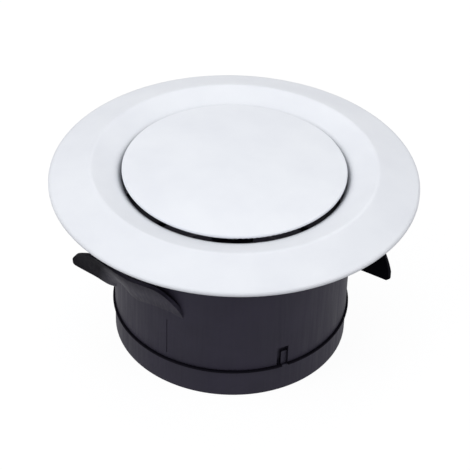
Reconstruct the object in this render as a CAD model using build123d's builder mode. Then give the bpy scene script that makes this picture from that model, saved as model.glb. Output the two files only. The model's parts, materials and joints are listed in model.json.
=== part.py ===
# Round air vent valve: white face ring and domed disc on a black duct spigot with two barbed leaves.
# Millimetres, +Z up. The origin is on the valve's axis, in the flat bottom of the lower ring.
import os
from math import asin, atan2, cos, degrees, hypot, radians, sin, sqrt, tan

from build123d import *

# Duct spigot
tube_r = 49.05
tube_wall = 2.05
tube_foot_chamfer = 0.2
rim_z = 75.2
seat_gap = 0.15
groove_depth = 0.8
groove_height = 3.0

# Face ring: the inner band climbs from the lip to the ridge, the outer band falls from there to the rim
inner_band_width = 8.95
outer_band_width = 17.0
ridge_rise = 6.2
ridge_round = 1.6
rim_thickness = 1.2
rim_round = 0.45
lip_radius = 3.0
lip_center_drop = 0.7
face_wall = 1.8
collar_wall = 1.7
collar_depth = 18.0
collar_fit = 0.1
collar_round = 0.3
land_offset = 4.0
land_height_in_wall = 0.9
face_rib_count = 20
face_rib_thickness = 1.2
hook_count = 4
hook_width = 9.0
hook_reach = 0.7
hook_height = 2.0
hook_foot = 1.6
hook_free_length = 11.0
hook_taper = 8.0
hook_start_angle = 45.0
slit_width = 1.4

# Foam gasket behind the flange
gasket_width = 9.0
gasket_proud = 0.8
gasket_gap = 0.1

# Disc
disc_overlap = 0.3
disc_edge_rise = 4.3
disc_dome_rise = 2.9
disc_wall = 1.8
disc_edge_depth = 1.4
disc_edge_round = 0.6
hub_r = 9.0
hub_depth = 10.5
disc_rib_count = 8
disc_rib_thickness = 1.5
disc_rib_depth = 4.0
disc_rib_gap = 4.8
spindle_socket = 7.5

# Spindle and what sits on it
spindle_r = 4.0
thread_clearance = 0.05
spindle_chamfer = 0.6
nut_across_flats = 13.0
nut_face_share = 0.95
nut_bevel_angle = 30.0
nut_height = 6.5
lock_nut_height = 4.0
lock_nut_height_above_boss = 3.2
washer_r = 8.0
washer_thickness = 1.6
washer_play = 0.3
washer_side_play = 0.25
clip_r = 7.0
clip_thickness = 1.0
clip_groove_r = 3.4
clip_rim = 1.9
clip_lug_width = 3.2
spindle_tail = 2.6
opening_travel = 18.0
stop_clearance = 0.3

# Lower ring with the bridge
ring_height = 13.6
shoulder_drop = 1.3
ring_wall = 2.05
ring_collar_wall = 1.8
ring_collar_height = 9.0
ring_round = 0.5
ring_inner_round = 0.2
ring_top_round = 0.3
leg_count = 4
leg_thickness = 2.4
leg_foot_height = 14.0
leg_foot_z = 3.0
boss_r = 8.75
boss_top_z = 45.4
boss_height = 18.0
boss_chamfer = 0.8
leg_sag = 3.5

# Rubber seal between the tube's foot and the lower ring
seal_width = 2.05
seal_proud = 0.95
seal_height = 0.8
seal_chamfer = 0.15
seal_fit = 0.05

# Locking tongue and its slot in the tube
tongue_angle = 298.1
tongue_width = 2.6
tongue_height = 6.0
tongue_recess = 0.95
slot_lead_in = 2.3
slot_headroom = 3.1
slot_fit = 0.15

# Mould parting line on the tube
parting_angle = 239.7
parting_width = 0.4
parting_depth = 0.25
parting_low_z = 16.5
parting_high_z = 34.0

# Barbed leaves: angle round the axis, stand-off from the tube and height above the bottom
leaf_count = 2
leaf_thickness = 1.6
leaf_root_embed = 0.8
leaf_tip_round = 1.4
leaf_upper = [(248.3, 0.5, 38.4), (244.8, 2.4, 44.7), (237.6, 3.6, 49.3), (223.0, 4.8, 47.9),
              (208.0, 7.2, 46.6), (197.2, 10.3, 44.2), (188.3, 13.7, 38.2), (182.0, 16.9, 32.2),
              (179.8, 18.0, 28.8)]
leaf_lower = [(247.9, 0, 35.4), (235.0, 0, 35.8), (214.0, 0, 31.8), (194.0, 0, 24.4),
              (191.5, 1.7, 23.6), (186.3, 6.9, 24.0), (182.1, 12.5, 24.5), (178.8, 18.0, 25.0)]

# Sizes that follow
same_size = 0.01
tube_bore_r = tube_r - tube_wall
ridge_r = tube_r + inner_band_width
flange_r = ridge_r + outer_band_width
land_r = ridge_r + land_offset
collar_r = tube_bore_r - collar_fit
throat_r = collar_r - collar_wall
lip_center_r = throat_r + lip_radius
lip_center_z = rim_z - lip_center_drop
ridge_z = rim_z + ridge_rise
band_tilt = atan2(ridge_z - lip_center_z, ridge_r - lip_center_r) - asin(
    lip_radius / hypot(ridge_r - lip_center_r, ridge_z - lip_center_z))
lip_tangent_r = lip_center_r - lip_radius * sin(band_tilt)
lip_tangent_z = lip_center_z + lip_radius * cos(band_tilt)
band_drop = face_wall / cos(band_tilt)
outer_tilt = atan2(ridge_rise, flange_r - ridge_r)
outer_drop = face_wall / cos(outer_tilt)
rim_back_z = rim_z - rim_thickness
rim_back_r = ridge_r + (ridge_z - outer_drop - rim_back_z) / tan(outer_tilt)


def band_underside(radius):
    return lip_tangent_z + (radius - lip_tangent_r) * tan(band_tilt) - band_drop


def outer_underside(radius):
    return ridge_z - (radius - ridge_r) * tan(outer_tilt) - outer_drop


tube_top_z = band_underside(tube_bore_r) - seat_gap
disc_r = throat_r + disc_overlap
disc_edge_z = rim_z + disc_edge_rise
dome_radius = (disc_r ** 2 + disc_dome_rise ** 2) / (2 * disc_dome_rise)
disc_top_z = disc_edge_z + disc_dome_rise
disc_under_z = disc_top_z - disc_wall
hub_bottom_z = disc_under_z - hub_depth
disc_rib_end_r = disc_r - disc_rib_gap
boss_low_z = boss_top_z - boss_height
seal_low_z = ring_height - seal_height
seal_outer_r = tube_r + seal_proud
seal_inner_r = seal_outer_r - seal_width
washer_top_z = boss_low_z - opening_travel - stop_clearance
clip_top_z = washer_top_z - washer_thickness - washer_play
spindle_bottom_z = clip_top_z - clip_thickness - spindle_tail

os.makedirs("parts", exist_ok=True)

# Face ring: one thin moulding with a rolled inner lip, a ridge, a thin rim and a snap collar
with BuildPart() as face_ring:
    with BuildSketch(Plane.XZ):
        with BuildLine():
            FilletPolyline(
                (lip_tangent_r, lip_tangent_z),
                (ridge_r, ridge_z),
                (flange_r, rim_z),
                (flange_r, rim_back_z),
                (rim_back_r, rim_back_z),
                (ridge_r, ridge_z - outer_drop),
                (collar_r, band_underside(collar_r)),
                (collar_r, rim_z - collar_depth),
                (throat_r, rim_z - collar_depth),
                (throat_r, lip_center_z),
                radius=[ridge_round, rim_round, rim_round / 2, 0, ridge_round, 0, collar_round, collar_round],
            )
            ThreePointArc(
                (throat_r, lip_center_z),
                (lip_center_r - lip_radius * cos(band_tilt), lip_center_z + lip_radius * sin(band_tilt)),
                (lip_tangent_r, lip_tangent_z),
            )
        make_face()
    revolve(axis=Axis.Z)
    # Concentric land that the foam gasket is stuck against
    with BuildSketch(Plane.XY.offset(rim_back_z)):
        Circle(land_r)
        Circle(land_r - face_rib_thickness, mode=Mode.SUBTRACT)
    extrude(amount=outer_underside(land_r) + land_height_in_wall - rim_back_z)
    # Stiffening webs under the flange, from the tube's clearance out to the land
    with BuildSketch(Plane.XZ, mode=Mode.PRIVATE) as web:
        with BuildLine():
            Polyline(
                (tube_r + seat_gap, rim_back_z),
                (land_r - face_rib_thickness / 2, rim_back_z),
                (land_r - face_rib_thickness / 2, outer_underside(land_r) + land_height_in_wall),
                (ridge_r, ridge_z - outer_drop - ridge_round / 2),
                (tube_r + seat_gap, band_underside(tube_r) + land_height_in_wall),
                close=True,
            )
        make_face()
    face_rib = extrude(web.sketch, amount=face_rib_thickness / 2, both=True, mode=Mode.PRIVATE)
    with PolarLocations(0, face_rib_count):
        add(face_rib)
    # Snap hooks at the collar's foot, each freed by two slits
    hook_z = rim_z - collar_depth + hook_foot
    with BuildSketch(Plane.XY.offset(hook_z)):
        Circle(collar_r + hook_reach)
        Circle(collar_r - collar_wall / 2, mode=Mode.SUBTRACT)
        with PolarLocations(collar_r, hook_count, start_angle=hook_start_angle):
            Rectangle(4 * collar_wall, hook_width, mode=Mode.INTERSECT)
    extrude(amount=hook_height, taper=hook_taper)
    slit_turn = degrees((hook_width + slit_width) / 2 / collar_r)
    for side in (-1, 1):
        slit_angle = hook_start_angle + side * slit_turn
        with BuildSketch(Plane.XY.offset(rim_z - collar_depth)):
            with PolarLocations(collar_r - collar_wall / 2, hook_count, start_angle=slit_angle):
                Rectangle(3 * collar_wall, slit_width)
        extrude(amount=hook_free_length, mode=Mode.SUBTRACT)
face_ring.part.label = "face_ring"
export_step(face_ring.part, "parts/face_ring.step")

# Foam gasket: follows the sloped back of the flange outside the land
with BuildPart() as flange_gasket:
    gasket_in = land_r + gasket_gap
    gasket_out = gasket_in + gasket_width
    with BuildSketch(Plane.XZ):
        with BuildLine():
            Polyline(
                (gasket_in, rim_back_z - gasket_proud),
                (gasket_out, rim_back_z - gasket_proud),
                (gasket_out, outer_underside(gasket_out) - gasket_gap),
                (gasket_in, outer_underside(gasket_in) - gasket_gap),
                close=True,
            )
        make_face()
    revolve(axis=Axis.Z)
flange_gasket.part.label = "flange_gasket"
export_step(flange_gasket.part, "parts/flange_gasket.step")


def leaf_point(angle, stand_off, height):
    radius = tube_r + stand_off
    return (radius * cos(radians(angle)), radius * sin(radians(angle)), height)


# Spigot: plain tube with a slot for the tongue and two leaves that peel off it and flare upwards
with BuildPart() as spigot:
    with BuildSketch(Plane.XY.offset(ring_height)):
        Circle(tube_r)
    extrude(amount=tube_top_z - ring_height)
    chamfer(spigot.edges().filter_by(GeomType.CIRCLE).sort_by(Axis.Z)[0], length=tube_foot_chamfer)
    with BuildLine() as upper_rail:
        Spline([leaf_point(*place) for place in leaf_upper])
    with BuildLine() as lower_rail:
        Spline([leaf_point(angle, out or -leaf_root_embed, height) for angle, out, height in leaf_lower])
    leaf_face = Face.make_surface_from_curves(lower_rail.edge(), upper_rail.edge())
    leaf = thicken(leaf_face, amount=leaf_thickness, mode=Mode.PRIVATE)
    tip_corner = leaf.edges().filter_by(lambda e: e.length < 1.5 * leaf_thickness).sort_by(Axis.Z)[0]
    leaf = leaf.fillet(leaf_tip_round, [tip_corner])
    with PolarLocations(0, leaf_count):
        add(leaf)
    with BuildSketch(Plane.XY.offset(ring_height)):
        Circle(tube_bore_r)
    extrude(amount=tube_top_z - ring_height, mode=Mode.SUBTRACT)
    # Groove inside for the face ring's snap hooks
    with BuildSketch(Plane.XY.offset(rim_z - collar_depth + hook_foot - (groove_height - hook_height) / 2)):
        Circle(tube_bore_r + groove_depth)
        Circle(tube_bore_r - groove_depth, mode=Mode.SUBTRACT)
    extrude(amount=groove_height, mode=Mode.SUBTRACT)
    # Slot: wider than the tongue on one side, where the tongue enters before it is turned home
    with BuildSketch(Plane.XY.offset(ring_height)):
        slot_width = tongue_width + slot_lead_in + slot_fit
        slot_turn = degrees((slot_fit - slot_lead_in) / 2 / tube_r)
        with PolarLocations(tube_r, 1, start_angle=tongue_angle + slot_turn):
            Rectangle(4 * tube_wall, slot_width)
    extrude(amount=tongue_height + slot_headroom, mode=Mode.SUBTRACT)
    # Fine mould parting lines below the leaves
    with BuildSketch(Plane.XY.offset(parting_low_z)):
        with PolarLocations(tube_r, leaf_count, start_angle=parting_angle):
            Rectangle(2 * parting_depth, parting_width)
    extrude(amount=parting_high_z - parting_low_z, mode=Mode.SUBTRACT)
spigot.part.label = "spigot"
export_step(spigot.part, "parts/spigot.step")

# Bridge ring: lower ring, inner collar, locking tongue, four arched legs and the threaded boss
with BuildPart() as bridge_ring:
    inner_r = tube_r - ring_wall
    collar_in_r = collar_r - ring_collar_wall
    with BuildSketch(Plane.XZ):
        with BuildLine():
            FilletPolyline(
                (inner_r, 0),
                (tube_r, 0),
                (tube_r, seal_low_z),
                (seal_inner_r - seal_fit, seal_low_z),
                (seal_inner_r - seal_fit, ring_height),
                (collar_r, ring_height),
                (collar_r, ring_height + ring_collar_height),
                (collar_in_r, ring_height + ring_collar_height),
                (collar_in_r, ring_height - shoulder_drop),
                (inner_r, ring_height - shoulder_drop - 3 * (inner_r - collar_in_r) / 2),
                close=True,
                radius=[ring_inner_round, ring_round, ring_top_round, 0, 0, 0, ring_round, ring_round, 0, 0],
            )
        make_face()
    revolve(axis=Axis.Z)
    # Locking tongue: stands up from the ring's wall and breaks through the seal
    with BuildSketch(Plane.XY.offset(seal_low_z - ring_inner_round)):
        Circle(tube_r - tongue_recess)
        Circle(collar_r - ring_collar_wall / 2, mode=Mode.SUBTRACT)
        with PolarLocations(tube_r, 1, start_angle=tongue_angle):
            Rectangle(4 * tube_wall, tongue_width, mode=Mode.INTERSECT)
    extrude(amount=tongue_height + seal_height + ring_inner_round)
    # Arched legs from the ring's wall up to the boss
    foot_r = inner_r + ring_wall / 2
    shoulder_r = collar_r - ring_collar_wall / 2
    leg_joint = boss_height / 8
    with BuildSketch(Plane.XZ, mode=Mode.PRIVATE) as leg:
        with BuildLine():
            Polyline(
                (boss_r, boss_low_z + leg_joint),
                (boss_r / 2, boss_low_z + leg_joint),
                (boss_r / 2, boss_top_z - leg_joint),
                (shoulder_r, leg_foot_z + leg_foot_height),
                (shoulder_r, ring_height - shoulder_drop),
                (foot_r, ring_height - 2 * shoulder_drop),
                (foot_r, leg_foot_z),
            )
            SagittaArc((foot_r, leg_foot_z), (boss_r, boss_low_z + leg_joint), leg_sag)
        make_face()
    leg_plate = extrude(leg.sketch, amount=leg_thickness / 2, both=True, mode=Mode.PRIVATE)
    with PolarLocations(0, leg_count):
        add(leg_plate)
    with BuildSketch(Plane.XY.offset(boss_low_z)):
        Circle(boss_r)
    extrude(amount=boss_height)
    chamfer(
        bridge_ring.edges().filter_by(GeomType.CIRCLE).filter_by(lambda e: abs(e.radius - boss_r) < same_size)
        .group_by(Axis.Z)[-1],
        length=boss_chamfer,
    )
    with BuildSketch(Plane.XY.offset(boss_low_z)):
        Circle(spindle_r + thread_clearance)
    extrude(amount=boss_height, mode=Mode.SUBTRACT)
bridge_ring.part.label = "bridge_ring"
export_step(bridge_ring.part, "parts/bridge_ring.step")

# Joint seal: flat rubber ring, open where the tongue passes
with BuildPart() as joint_seal:
    with BuildSketch(Plane.XY.offset(seal_low_z)):
        Circle(seal_outer_r)
        Circle(seal_inner_r, mode=Mode.SUBTRACT)
        with PolarLocations(tube_r, 1, start_angle=tongue_angle):
            Rectangle(4 * tube_wall, tongue_width + 2 * slot_fit, mode=Mode.SUBTRACT)
    extrude(amount=seal_height)
    lip_edges = joint_seal.edges().filter_by(GeomType.CIRCLE).filter_by(
        lambda e: abs(e.radius - seal_outer_r) < same_size)
    chamfer(lip_edges, length=seal_chamfer)
joint_seal.part.label = "joint_seal"
export_step(joint_seal.part, "parts/joint_seal.step")

# Disc: shallow domed shell with a rounded edge, ribs and a hub that holds the spindle
with BuildPart() as valve_disc:
    edge_low_z = disc_edge_z - disc_edge_depth
    with BuildSketch(Plane.XZ):
        with BuildLine():
            dome = RadiusArc((0, disc_top_z), (disc_r, disc_edge_z), dome_radius)
            Line((disc_r, disc_edge_z), (disc_r, edge_low_z))
            Line((disc_r, edge_low_z), (disc_r - disc_wall, edge_low_z))
            inner_edge_z = disc_edge_z - disc_wall + (disc_r ** 2 - (disc_r - disc_wall) ** 2) / (2 * dome_radius)
            Line((disc_r - disc_wall, edge_low_z), (disc_r - disc_wall, inner_edge_z))
            RadiusArc((disc_r - disc_wall, inner_edge_z), (0, disc_under_z), -(dome_radius - disc_wall))
            Line((0, disc_under_z), (0, disc_top_z))
        make_face()
    revolve(axis=Axis.Z)
    rim_edges = valve_disc.edges().filter_by(GeomType.CIRCLE).filter_by(lambda e: abs(e.radius - disc_r) < same_size)
    fillet(rim_edges, radius=disc_edge_round)
    with BuildSketch(Plane.XY.offset(hub_bottom_z)):
        Circle(hub_r)
    extrude(amount=hub_depth + disc_wall / 2)
    with BuildSketch(Plane.XZ, mode=Mode.PRIVATE) as disc_rib:
        with BuildLine():
            Polyline(
                (0, disc_under_z + disc_wall / 2),
                (0, disc_under_z - disc_rib_depth),
                (hub_r * 1.5, disc_under_z - disc_rib_depth),
                (disc_rib_end_r, edge_low_z),
                (disc_rib_end_r, edge_low_z + disc_wall / 2),
                close=True,
            )
        make_face()
    rib_plate = extrude(disc_rib.sketch, amount=disc_rib_thickness / 2, both=True, mode=Mode.PRIVATE)
    with PolarLocations(0, disc_rib_count):
        add(rib_plate)
    with BuildSketch(Plane.XY.offset(hub_bottom_z)):
        Circle(spindle_r + thread_clearance)
    extrude(amount=spindle_socket, mode=Mode.SUBTRACT)
valve_disc.part.label = "valve_disc"
export_step(valve_disc.part, "parts/valve_disc.step")

# Spindle: threaded rod, fixed in the hub, with a groove for the retaining clip
with BuildPart() as spindle:
    with BuildSketch(Plane.XY.offset(spindle_bottom_z)):
        Circle(spindle_r)
    extrude(amount=hub_bottom_z + spindle_socket - seat_gap - spindle_bottom_z)
    chamfer(spindle.edges().filter_by(GeomType.CIRCLE), length=spindle_chamfer)
    with BuildSketch(Plane.XY.offset(clip_top_z - clip_thickness)):
        Circle(spindle_r * 2)
        Circle(clip_groove_r, mode=Mode.SUBTRACT)
    extrude(amount=clip_thickness, mode=Mode.SUBTRACT)
spindle.part.label = "spindle"
export_step(spindle.part, "parts/spindle.step")


def hex_nut(low_z, height):
    corner_r = nut_across_flats / sqrt(3)
    face_r = nut_across_flats / 2 * nut_face_share
    bevel = (corner_r - face_r) * tan(radians(nut_bevel_angle))
    with BuildPart() as nut:
        with BuildSketch(Plane.XY.offset(low_z)):
            RegularPolygon(nut_across_flats / 2, 6, major_radius=False)
        extrude(amount=height)
        with BuildSketch(Plane.XZ):
            with BuildLine():
                Polyline(
                    (0, low_z),
                    (face_r, low_z),
                    (corner_r, low_z + bevel),
                    (corner_r, low_z + height - bevel),
                    (face_r, low_z + height),
                    (0, low_z + height),
                    close=True,
                )
            make_face()
        revolve(axis=Axis.Z, mode=Mode.INTERSECT)
        with BuildSketch(Plane.XY.offset(low_z)):
            Circle(spindle_r + thread_clearance)
        extrude(amount=height, mode=Mode.SUBTRACT)
    return nut


def flat_washer(low_z, hole_r):
    with BuildPart() as washer:
        with BuildSketch(Plane.XY.offset(low_z)):
            Circle(washer_r)
            Circle(hole_r, mode=Mode.SUBTRACT)
        extrude(amount=washer_thickness)
        rim_edges = washer.edges().filter_by(GeomType.CIRCLE).filter_by(lambda e: e.radius > hole_r + same_size)
        chamfer(rim_edges, length=washer_thickness / 8)
    return washer


# Washer and nut that clamp the spindle to the disc's hub
disc_washer = flat_washer(hub_bottom_z - washer_thickness, spindle_r + washer_side_play)
disc_washer.part.label = "disc_washer"
export_step(disc_washer.part, "parts/disc_washer.step")

disc_nut = hex_nut(hub_bottom_z - washer_thickness - nut_height, nut_height)
disc_nut.part.label = "disc_nut"
export_step(disc_nut.part, "parts/disc_nut.step")

# Thin lock nut that fixes the setting against the boss, backed off here
lock_nut = hex_nut(boss_top_z + lock_nut_height_above_boss, lock_nut_height)
lock_nut.part.label = "lock_nut"
export_step(lock_nut.part, "parts/lock_nut.step")

# Loose stop washer, trapped on the spindle above the clip: it meets the boss when the valve is wide open
stop_washer = flat_washer(washer_top_z - washer_thickness, spindle_r + washer_side_play)
stop_washer.part.label = "stop_washer"
export_step(stop_washer.part, "parts/stop_washer.step")

# Open retaining clip with three lugs in the spindle's groove
with BuildPart() as stop_clip:
    with BuildSketch(Plane.XY.offset(clip_top_z - clip_thickness)):
        Circle(clip_r)
        Circle(clip_r - clip_rim, mode=Mode.SUBTRACT)
        with PolarLocations((clip_r + clip_groove_r) / 2, 3, start_angle=0):
            Rectangle(clip_r - clip_groove_r, clip_lug_width)
        Circle(clip_groove_r + thread_clearance, mode=Mode.SUBTRACT)
        with Locations((-clip_r, 0)):
            Rectangle(2 * clip_r - clip_rim, 2 * clip_groove_r, mode=Mode.SUBTRACT)
    extrude(amount=clip_thickness)
stop_clip.part.label = "stop_clip"
export_step(stop_clip.part, "parts/stop_clip.step")
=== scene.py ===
import json
import math

import bmesh
import bpy
from mathutils import Matrix, Quaternion, Vector


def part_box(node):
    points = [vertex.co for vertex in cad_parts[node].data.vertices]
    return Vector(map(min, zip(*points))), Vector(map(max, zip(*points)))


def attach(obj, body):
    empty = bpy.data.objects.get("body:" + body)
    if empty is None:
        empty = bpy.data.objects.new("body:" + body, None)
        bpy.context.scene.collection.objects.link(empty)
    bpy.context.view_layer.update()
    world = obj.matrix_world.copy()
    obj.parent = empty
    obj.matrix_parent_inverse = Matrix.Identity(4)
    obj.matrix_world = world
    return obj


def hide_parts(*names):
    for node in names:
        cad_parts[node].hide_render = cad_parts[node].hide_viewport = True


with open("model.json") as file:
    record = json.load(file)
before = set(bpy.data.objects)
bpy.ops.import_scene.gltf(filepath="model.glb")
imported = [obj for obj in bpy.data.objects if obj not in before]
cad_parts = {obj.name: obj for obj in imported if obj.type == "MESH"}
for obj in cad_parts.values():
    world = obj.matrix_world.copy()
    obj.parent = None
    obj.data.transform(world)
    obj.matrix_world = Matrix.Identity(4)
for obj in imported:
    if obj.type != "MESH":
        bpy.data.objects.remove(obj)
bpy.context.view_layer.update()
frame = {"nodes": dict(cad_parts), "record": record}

# Round air vent valve. The CAD nodes keep their places; this file gives them their finish,
# a threaded spindle, a studio floor, lamps and the photograph's camera.

print("frame loaded:", len(frame["nodes"]), "nodes")

mm = 0.001


def toLinear(hexColour):
    channels = [int(hexColour[i:i + 2], 16) / 255 for i in (1, 3, 5)]
    return [c / 12.92 if c <= 0.04045 else ((c + 0.055) / 1.055) ** 2.4 for c in channels] + [1.0]


def addNode(tree, kind, settings=None, links=None):
    # settings: input values or attributes by name; links: input name or number to a node's output
    node = tree.nodes.new(kind)
    for name, value in (settings or {}).items():
        if isinstance(name, int) or name in node.inputs:
            node.inputs[name].default_value = value
        else:
            setattr(node, name, value)
    for name, socket in (links or {}).items():
        tree.links.new(socket, node.inputs[name])
    return node


def newMaterial(name):
    material = bpy.data.materials.new(name)
    material.use_nodes = True
    tree = material.node_tree
    tree.nodes.clear()
    place = addNode(tree, "ShaderNodeTexCoord").outputs["Object"]
    return material, tree, place


def noiseOf(tree, place, grainMm, detail=2.0, stretch=(1.0, 1.0, 1.0)):
    # Object coordinates are metres, so a grain of so many millimetres is 1000 / grain cells a metre
    mapped = addNode(tree, "ShaderNodeMapping", {"Scale": stretch}, {"Vector": place})
    return addNode(
        tree, "ShaderNodeTexNoise",
        {"Scale": 1.0 / (grainMm * mm), "Detail": detail, "Roughness": 0.5},
        {"Vector": mapped.outputs["Vector"]},
    ).outputs["Fac"]


def spread(tree, value, low, high, fromLow=0.3, fromHigh=0.7):
    return addNode(
        tree, "ShaderNodeMapRange",
        {"From Min": fromLow, "From Max": fromHigh, "To Min": low, "To Max": high},
        {"Value": value},
    ).outputs["Result"]


def blendColours(tree, factor, first, second):
    mix = addNode(tree, "ShaderNodeMix", {"data_type": "RGBA"})
    mix.inputs[6].default_value = toLinear(first)
    mix.inputs[7].default_value = toLinear(second)
    tree.links.new(factor, mix.inputs[0])
    return mix.outputs[2]


def multiplyColours(tree, first, second):
    mix = addNode(tree, "ShaderNodeMix", {"data_type": "RGBA", "blend_type": "MULTIPLY"})
    mix.inputs[0].default_value = 1.0
    tree.links.new(first, mix.inputs[6])
    tree.links.new(second, mix.inputs[7])
    return mix.outputs[2]


def finishWith(tree, settings, links):
    shader = addNode(tree, "ShaderNodeBsdfPrincipled", settings, links)
    addNode(tree, "ShaderNodeOutputMaterial", None, {"Surface": shader.outputs["BSDF"]})


def bumpOf(tree, height, strength, depthMm, under=None):
    links = {"Height": height}
    if under:
        links["Normal"] = under
    settings = {"Strength": strength, "Distance": depthMm * mm}
    return addNode(tree, "ShaderNodeBump", settings, links).outputs["Normal"]


# Moulded white polypropylene: faint clouding in the resin, a satin skin that waves a little
# over the ribs behind it, and the fine spark grain of the mould.
whitePolypropyleneLook = {
    "resin": "#EDF0F6",
    "resinCloud": "#E7EAF1",
    "cloudMm": 22.0,
    "sheenMm": 6.0,
    "roughness": (0.30, 0.40),
    "rippleMm": 16.0,
    "rippleStrength": 0.25,
    "rippleDepthMm": 0.06,
    "grainMm": 0.35,
    "grainStrength": 0.22,
    "grainDepthMm": 0.012,
    "ior": 1.49,
}

# The face ring: its ridge and rim get the soft edges of a moulding in shading alone, and shade is
# painted into its colour: down the rolled lip, in the gap along the disc, and wherever other surfaces
# lie near, the white is turned greyer.
faceRingPaintedShadeAndSoftEdges = {
    "paintedGapShade": "#B0B2B5",
    "paintedShadeReachMm": 6.0,
    "openness": (0.64, 0.82),
    "softEdgeMm": 2.2,
    "samples": 8,
}


def makeWhitePolypropylene(name, look, ring=None):
    material, tree, place = newMaterial(name)
    cloud = noiseOf(tree, place, look["cloudMm"], 3.0)
    colour = blendColours(tree, spread(tree, cloud, 0.0, 1.0), look["resin"], look["resinCloud"])
    moulded = None
    if ring:
        # Painted shade: the white is multiplied towards a grey where other surfaces lie within reach,
        # as in the gap along the disc
        shadeOcclusion = addNode(
            tree, "ShaderNodeAmbientOcclusion",
            {"samples": ring["samples"], "Distance": ring["paintedShadeReachMm"] * mm},
        )
        openness = spread(tree, shadeOcclusion.outputs["AO"], 0.0, 1.0, *ring["openness"])
        colour = multiplyColours(tree, colour, blendColours(tree, openness, ring["paintedGapShade"], "#FFFFFF"))
        moulded = addNode(
            tree, "ShaderNodeBevel", {"samples": ring["samples"], "Radius": ring["softEdgeMm"] * mm},
        ).outputs["Normal"]
    rough = spread(tree, noiseOf(tree, place, look["sheenMm"], 3.0), *look["roughness"])
    ripple = noiseOf(tree, place, look["rippleMm"], 0.0)
    grain = noiseOf(tree, place, look["grainMm"], 2.0)
    broad = bumpOf(tree, ripple, look["rippleStrength"], look["rippleDepthMm"], moulded)
    fine = bumpOf(tree, grain, look["grainStrength"], look["grainDepthMm"], broad)
    finishWith(tree, {"IOR": look["ior"]}, {"Base Color": colour, "Roughness": rough, "Normal": fine})
    return material


# Moulded black polypropylene: dark grey with a trace of violet, fine draw marks along the tube's
# height where it left the mould, and a duller skin than the white parts.
blackPolypropyleneLook = {
    "resin": "#1B1922",
    "resinWorn": "#2B2735",
    "cloudMm": 14.0,
    "drawMarkMm": 1.1,
    "drawMarkStretch": (1.0, 1.0, 0.035),
    "drawMarkStrength": 0.3,
    "grainMm": 0.45,
    "grainStrength": 0.35,
    "markDepthMm": 0.03,
    "roughness": (0.46, 0.60),
    "ior": 1.49,
    "specular": 0.5,
    "skinTint": "#E4DFFF",
}

# The two spring leaves come from the same mould. From the leaves' roots out to their tips the skin
# turns matt and reflects less, and shade is painted into the colour, which turns darker the same way.
leafMattAndPaintedShade = {
    "rootRadius": 51.0 * mm,
    "mattRadius": 56.0 * mm,
    "paintedShadeTone": "#858585",
    "addedRoughness": 0.2,
    "specular": 0.08,
}


def makeBlackPolypropylene(name, look, leaves=None):
    material, tree, place = newMaterial(name)
    cloud = noiseOf(tree, place, look["cloudMm"], 4.0)
    marks = noiseOf(tree, place, look["drawMarkMm"], 2.0, look["drawMarkStretch"])
    grain = noiseOf(tree, place, look["grainMm"], 2.0)
    tint = addNode(
        tree, "ShaderNodeMath", {"operation": "MULTIPLY"}, {0: spread(tree, cloud, 0.1, 1.0), 1: marks},
    )
    colour = blendColours(tree, tint.outputs["Value"], look["resin"], look["resinWorn"])
    rough = spread(tree, marks, *look["roughness"])
    drawn = bumpOf(tree, marks, look["drawMarkStrength"], look["markDepthMm"])
    links = {"Normal": bumpOf(tree, grain, look["grainStrength"], look["markDepthMm"], drawn)}
    if leaves:
        flat = addNode(
            tree, "ShaderNodeVectorMath", {"operation": "MULTIPLY", 1: (1, 1, 0)}, {0: place},
        )
        radius = addNode(
            tree, "ShaderNodeVectorMath", {"operation": "LENGTH"}, {0: flat.outputs["Vector"]},
        ).outputs["Value"]
        leafStretch = (leaves["rootRadius"], leaves["mattRadius"])
        # Painted shade: this mask darkens the colour towards the leaves' tips, and also makes them matt
        # and less glossy
        mattAndPaintedShade = spread(tree, radius, 0.0, 1.0, *leafStretch)
        colour = multiplyColours(tree, colour, blendColours(tree, mattAndPaintedShade, "#FFFFFF", leaves["paintedShadeTone"]))
        rough = addNode(
            tree, "ShaderNodeMath", {"operation": "MULTIPLY_ADD", 1: leaves["addedRoughness"]},
            {0: mattAndPaintedShade, 2: rough},
        ).outputs["Value"]
        links["Specular IOR Level"] = spread(
            tree, radius, look["specular"], leaves["specular"], *leafStretch,
        )
    settings = {
        "IOR": look["ior"], "Specular IOR Level": look["specular"],
        "Specular Tint": toLinear(look["skinTint"]),
    }
    finishWith(tree, settings, {"Base Color": colour, "Roughness": rough, **links})
    return material


# Bright zinc-plated steel: pale metal with the soft blue and straw mottling of its passivation
# and turning marks round the axis.
zincLook = {
    "zinc": "#C6CBD0",
    "straw": "#CBC6B4",
    "mottleMm": 3.0,
    "roughness": (0.22, 0.38),
    "turningMm": 0.25,
    "turningStretch": (0.08, 0.08, 1.0),
    "turningStrength": 0.25,
    "turningDepthMm": 0.01,
}


def makeZinc(look):
    material, tree, place = newMaterial("brightZincPlatedSteel")
    mottle = noiseOf(tree, place, look["mottleMm"], 4.0)
    turning = noiseOf(tree, place, look["turningMm"], 1.0, look["turningStretch"])
    colour = blendColours(tree, spread(tree, mottle, 0.0, 1.0), look["zinc"], look["straw"])
    rough = spread(tree, mottle, *look["roughness"])
    bump = bumpOf(tree, turning, look["turningStrength"], look["turningDepthMm"])
    finishWith(tree, {"Metallic": 1.0}, {"Base Color": colour, "Roughness": rough, "Normal": bump})
    return material


# Closed-cell polyethylene foam: matt dark grey, its cut cells showing as small pits, with painted shade
# in them: the colour darkens towards each cell's middle.
foamLook = {
    "foam": "#3A3A3D",
    "cellWall": "#55555A",
    "cellMm": 0.7,
    "cellEdges": (0.1, 0.7),
    "cellStrength": 0.8,
    "cellDepthMm": 0.15,
    "roughness": 0.85,
}


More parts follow.
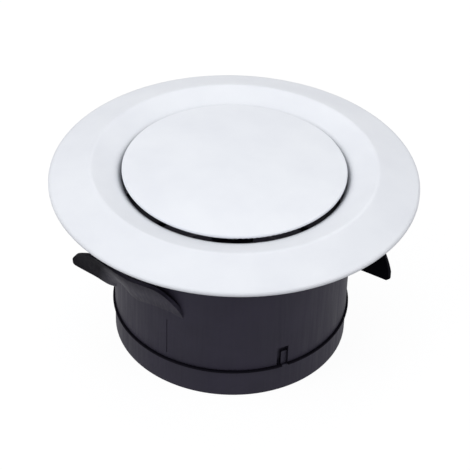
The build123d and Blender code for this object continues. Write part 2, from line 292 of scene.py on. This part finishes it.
def makeFoam(look):
    material, tree, place = newMaterial("closedCellFoam")
    cells = addNode(
        tree, "ShaderNodeTexVoronoi", {"Scale": 1.0 / (look["cellMm"] * mm)}, {"Vector": place},
    ).outputs["Distance"]
    # Painted shade: the pits' middles get the darker foam colour, the cell walls the lighter one
    pitShadeFade = spread(tree, cells, 0.0, 1.0, *look["cellEdges"])
    colour = blendColours(tree, pitShadeFade, look["foam"], look["cellWall"])
    bump = bumpOf(tree, cells, look["cellStrength"], look["cellDepthMm"])
    finishWith(tree, {"Roughness": look["roughness"]}, {"Base Color": colour, "Normal": bump})
    return material


# Matt black EPDM rubber: nearly black, dull, with the fine bloom of the press.
rubberLook = {
    "rubber": "#060509",
    "bloom": "#0D0B12",
    "bloomMm": 5.0,
    "grainMm": 0.3,
    "grainStrength": 0.4,
    "grainDepthMm": 0.02,
    "roughness": 0.75,
    "specular": 0.12,
    "skinTint": "#DCD6FF",
}


def makeRubber(look):
    material, tree, place = newMaterial("mattBlackRubber")
    bloom = noiseOf(tree, place, look["bloomMm"], 3.0)
    grain = noiseOf(tree, place, look["grainMm"], 2.0)
    colour = blendColours(tree, spread(tree, bloom, 0.0, 1.0), look["rubber"], look["bloom"])
    settings = {
        "Roughness": look["roughness"], "Specular IOR Level": look["specular"],
        "Specular Tint": toLinear(look["skinTint"]),
    }
    bump = bumpOf(tree, grain, look["grainStrength"], look["grainDepthMm"])
    finishWith(tree, settings, {"Base Color": colour, "Normal": bump})
    return material


materials = {
    "white_plastic": makeWhitePolypropylene("mouldedWhitePolypropylene", whitePolypropyleneLook),
    "black_plastic": makeBlackPolypropylene("mouldedBlackPolypropylene", blackPolypropyleneLook),
    "zinc_steel": makeZinc(zincLook),
    "foam": makeFoam(foamLook),
    "black_rubber": makeRubber(rubberLook),
}
# Two nodes have a finish of their own within their slot's material
ownMaterials = {
    "face_ring": makeWhitePolypropylene(
        "ringWhitePolypropylenePaintedShade", whitePolypropyleneLook, faceRingPaintedShadeAndSoftEdges,
    ),
    "spigot": makeBlackPolypropylene("spigotBlackPolypropyleneShadedLeaves", blackPolypropyleneLook, leafMattAndPaintedShade),
}
print("materials made:", len(materials) + len(ownMaterials))


def setMaterial(piece, slot, material=None):
    piece.data.materials.clear()
    piece.data.materials.append(material or materials[slot])


slotOf = {row["node"]: row["material_slot"] for row in frame["record"]["subparts"]}
for name, node in frame["nodes"].items():
    setMaterial(node, slotOf[name], ownMaterials.get(name))
print("CAD nodes finished:", len(frame["nodes"]))


# Spindle with its rolled thread: one turn of the thread's profile is spun up the helix and cut to
# length, and a plain neck is left where the clip's groove is.
spindleSizes = {
    "pitch": 1.25 * mm,
    "crestRadius": 4.0 * mm,
    "rootRadius": 3.26 * mm,
    "crestFlat": 0.16 * mm,
    "rootFlat": 0.31 * mm,
    "neckRadius": 3.4 * mm,
    "neckLow": 6.2 * mm,
    "neckHigh": 7.2 * mm,
    "neckOverlap": 0.1 * mm,
    "neckSegments": 96,
    "endChamfer": 0.6 * mm,
    "runIn": 1.5,
    "stepsATurn": 48,
    "weld": 0.002 * mm,
    "cutSnap": 0.0005 * mm,
    "smoothDegrees": 35,
}


def threadBetween(bm, low, high, sizes, chamferLow, chamferHigh):
    pitch = sizes["pitch"]
    flank = (pitch - sizes["crestFlat"] - sizes["rootFlat"]) / 2
    start = low - sizes["runIn"] * pitch
    rise = [0, sizes["rootFlat"], sizes["rootFlat"] + flank, pitch - flank, pitch]
    reach = ["rootRadius", "rootRadius", "crestRadius", "crestRadius", "rootRadius"]
    part = bmesh.new()
    verts = [part.verts.new((sizes[r], 0, start + z)) for r, z in zip(reach, rise)]
    edges = [part.edges.new(pair) for pair in zip(verts, verts[1:])]
    turns = math.ceil((high - start) / pitch) + 1
    bmesh.ops.spin(
        part, geom=verts + edges, cent=(0, 0, 0), axis=(0, 0, 1), angle=turns * 2 * math.pi,
        dvec=(0, 0, pitch / sizes["stepsATurn"]), steps=turns * sizes["stepsATurn"],
    )
    bmesh.ops.remove_doubles(part, verts=part.verts, dist=sizes["weld"])
    for height, side in ((low, -1), (high, 1)):
        cut = bmesh.ops.bisect_plane(
            part, geom=part.verts[:] + part.edges[:] + part.faces[:], dist=sizes["cutSnap"],
            plane_co=(0, 0, height), plane_no=(0, 0, side), clear_outer=True,
        )
        rim = [e for e in cut["geom_cut"] if isinstance(e, bmesh.types.BMEdge)]
        bmesh.ops.holes_fill(part, edges=rim, sides=0)
    for vert in part.verts:
        radius = math.hypot(vert.co.x, vert.co.y)
        limit = sizes["crestRadius"]
        endRadius = limit - sizes["endChamfer"]
        if chamferLow:
            limit = min(limit, endRadius + vert.co.z - low)
        if chamferHigh:
            limit = min(limit, endRadius + high - vert.co.z)
        if radius > limit:
            vert.co.x *= limit / radius
            vert.co.y *= limit / radius
    mesh = bpy.data.meshes.new("threadStretch")
    part.to_mesh(mesh)
    part.free()
    bm.from_mesh(mesh)
    bpy.data.meshes.remove(mesh)


def makeSpindle(sizes):
    lowCorner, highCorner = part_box("spindle")
    bm = bmesh.new()
    threadBetween(bm, lowCorner.z, sizes["neckLow"], sizes, True, False)
    threadBetween(bm, sizes["neckHigh"], highCorner.z, sizes, False, True)
    neckMiddle = (sizes["neckLow"] + sizes["neckHigh"]) / 2
    bmesh.ops.create_cone(
        bm, cap_ends=True, segments=sizes["neckSegments"], radius1=sizes["neckRadius"],
        radius2=sizes["neckRadius"],
        depth=sizes["neckHigh"] - sizes["neckLow"] + sizes["neckOverlap"],
        matrix=Matrix.Translation((0, 0, neckMiddle)),
    )
    bmesh.ops.recalc_face_normals(bm, faces=bm.faces)
    mesh = bpy.data.meshes.new("threadedSpindle")
    bm.to_mesh(mesh)
    bm.free()
    piece = bpy.data.objects.new("threadedSpindle", mesh)
    bpy.context.scene.collection.objects.link(piece)
    mesh.polygons.foreach_set("use_smooth", [True] * len(mesh.polygons))
    mesh.set_sharp_from_angle(angle=math.radians(sizes["smoothDegrees"]))
    setMaterial(piece, "zinc_steel")
    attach(piece, "disc")
    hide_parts("spindle")
    print("spindle threaded:", len(mesh.polygons), "faces")


makeSpindle(spindleSizes)


# Studio: a pale floor that reads white to the camera and still takes the shadow.
studio = {
    "floorSize": 8.0,
    "floorDrop": 0.05 * mm,
    "floorColour": "#B6B6B9",
    "backdropColour": "#FFFFFF",
    "ownGlow": 0.80,
    "mirroredGlow": 0.38,
    "glowStrength": 1.17,
    "worldLight": 0.46,
}


def backdropShare(tree, own, mirrored):
    # The share of the pale backdrop that a ray sees: all of own for the camera and through glass,
    # and less for gloss and metal
    ray = addNode(tree, "ShaderNodeLightPath")
    straight = addNode(
        tree, "ShaderNodeMath", {"operation": "MAXIMUM"},
        {0: ray.outputs["Is Camera Ray"], 1: ray.outputs["Is Transmission Ray"]},
    )
    seen = addNode(
        tree, "ShaderNodeMath", {"operation": "MULTIPLY", 1: own}, {0: straight.outputs["Value"]},
    )
    return addNode(
        tree, "ShaderNodeMath", {"operation": "MULTIPLY_ADD", 1: mirrored},
        {0: ray.outputs["Is Glossy Ray"], 2: seen.outputs["Value"]},
    ).outputs["Value"]


def makeFloor(studio):
    bm = bmesh.new()
    bmesh.ops.create_grid(bm, x_segments=1, y_segments=1, size=studio["floorSize"] / 2)
    bmesh.ops.translate(bm, verts=bm.verts, vec=(0, 0, -studio["floorDrop"]))
    mesh = bpy.data.meshes.new("floor")
    bm.to_mesh(mesh)
    bm.free()
    floor = bpy.data.objects.new("floor", mesh)
    bpy.context.scene.collection.objects.link(floor)
    material, tree, _ = newMaterial("palePaperFloor")
    diffuse = addNode(tree, "ShaderNodeBsdfDiffuse", {"Color": toLinear(studio["floorColour"])})
    glow = addNode(
        tree, "ShaderNodeEmission",
        {"Color": toLinear(studio["backdropColour"]), "Strength": studio["glowStrength"]},
    )
    share = backdropShare(tree, studio["ownGlow"], studio["mirroredGlow"])
    top = addNode(
        tree, "ShaderNodeMixShader", None,
        {0: share, 1: diffuse.outputs["BSDF"], 2: glow.outputs["Emission"]},
    )
    # From below the floor lets the camera through, so that the duct side can be looked at
    below = addNode(tree, "ShaderNodeBsdfTransparent")
    side = addNode(tree, "ShaderNodeNewGeometry")
    both = addNode(
        tree, "ShaderNodeMixShader", None,
        {0: side.outputs["Backfacing"], 1: top.outputs["Shader"], 2: below.outputs["BSDF"]},
    )
    addNode(tree, "ShaderNodeOutputMaterial", None, {"Surface": both.outputs["Shader"]})
    mesh.materials.append(material)


def makeWorld(studio):
    world = bpy.data.worlds.new("softRoom")
    bpy.context.scene.world = world
    world.use_nodes = True
    tree = world.node_tree
    tree.nodes.clear()
    room = addNode(
        tree, "ShaderNodeBackground", {"Color": (1, 1, 1, 1), "Strength": studio["worldLight"]},
    )
    white = addNode(
        tree, "ShaderNodeBackground", {"Color": toLinear(studio["backdropColour"]), "Strength": 1.0},
    )
    share = backdropShare(tree, 1.0, studio["mirroredGlow"])
    mix = addNode(
        tree, "ShaderNodeMixShader", None,
        {0: share, 1: room.outputs["Background"], 2: white.outputs["Background"]},
    )
    addNode(tree, "ShaderNodeOutputWorld", None, {"Surface": mix.outputs["Shader"]})


lampAim = (0, 0, 0.05)
lamps = {
    "keySoftbox": {"at": (-0.90, -0.60, 1.05), "size": 0.9, "watts": 8.7},
    "fillSoftbox": {"at": (0.90, -0.30, 0.80), "size": 0.8, "watts": 2.8},
    "topSoftbox": {"at": (0.0, 0.55, 1.30), "size": 1.1, "watts": 4.4},
}


def makeLamps(lamps):
    for name, lamp in lamps.items():
        light = bpy.data.lights.new(name, "AREA")
        light.shape = "SQUARE"
        light.size = lamp["size"]
        light.energy = lamp["watts"]
        holder = bpy.data.objects.new(name, light)
        holder.location = lamp["at"]
        aim = Vector(lampAim) - Vector(lamp["at"])
        holder.rotation_mode = "QUATERNION"
        holder.rotation_quaternion = aim.to_track_quat("-Z", "Y")
        bpy.context.scene.collection.objects.link(holder)


# Camera: places and angles found from the flange's and the disc's ellipses in the photograph.
cameraSizes = {
    "at": (5.6 * mm, -572.6 * mm, 490.6 * mm),
    "aim": (1.0 * mm, 0.0, 44.9 * mm),
    "lensMm": 134.0,
    "sensorMm": 36.0,
    "rollDegrees": 1.87,
    "clip": (0.01, 50.0),
}


def makeCamera(sizes):
    data = bpy.data.cameras.new("photographView")
    data.lens = sizes["lensMm"]
    data.sensor_width = sizes["sensorMm"]
    data.clip_start, data.clip_end = sizes["clip"]
    camera = bpy.data.objects.new("photographView", data)
    camera.location = sizes["at"]
    aim = Vector(sizes["aim"]) - Vector(sizes["at"])
    roll = Quaternion((0, 0, 1), math.radians(sizes["rollDegrees"]))
    camera.rotation_mode = "QUATERNION"
    camera.rotation_quaternion = aim.to_track_quat("-Z", "Y") @ roll
    bpy.context.scene.collection.objects.link(camera)
    bpy.context.scene.camera = camera


makeFloor(studio)
makeWorld(studio)
makeLamps(lamps)
makeCamera(cameraSizes)
bpy.context.scene.view_settings.view_transform = "Standard"
print("studio and camera ready")
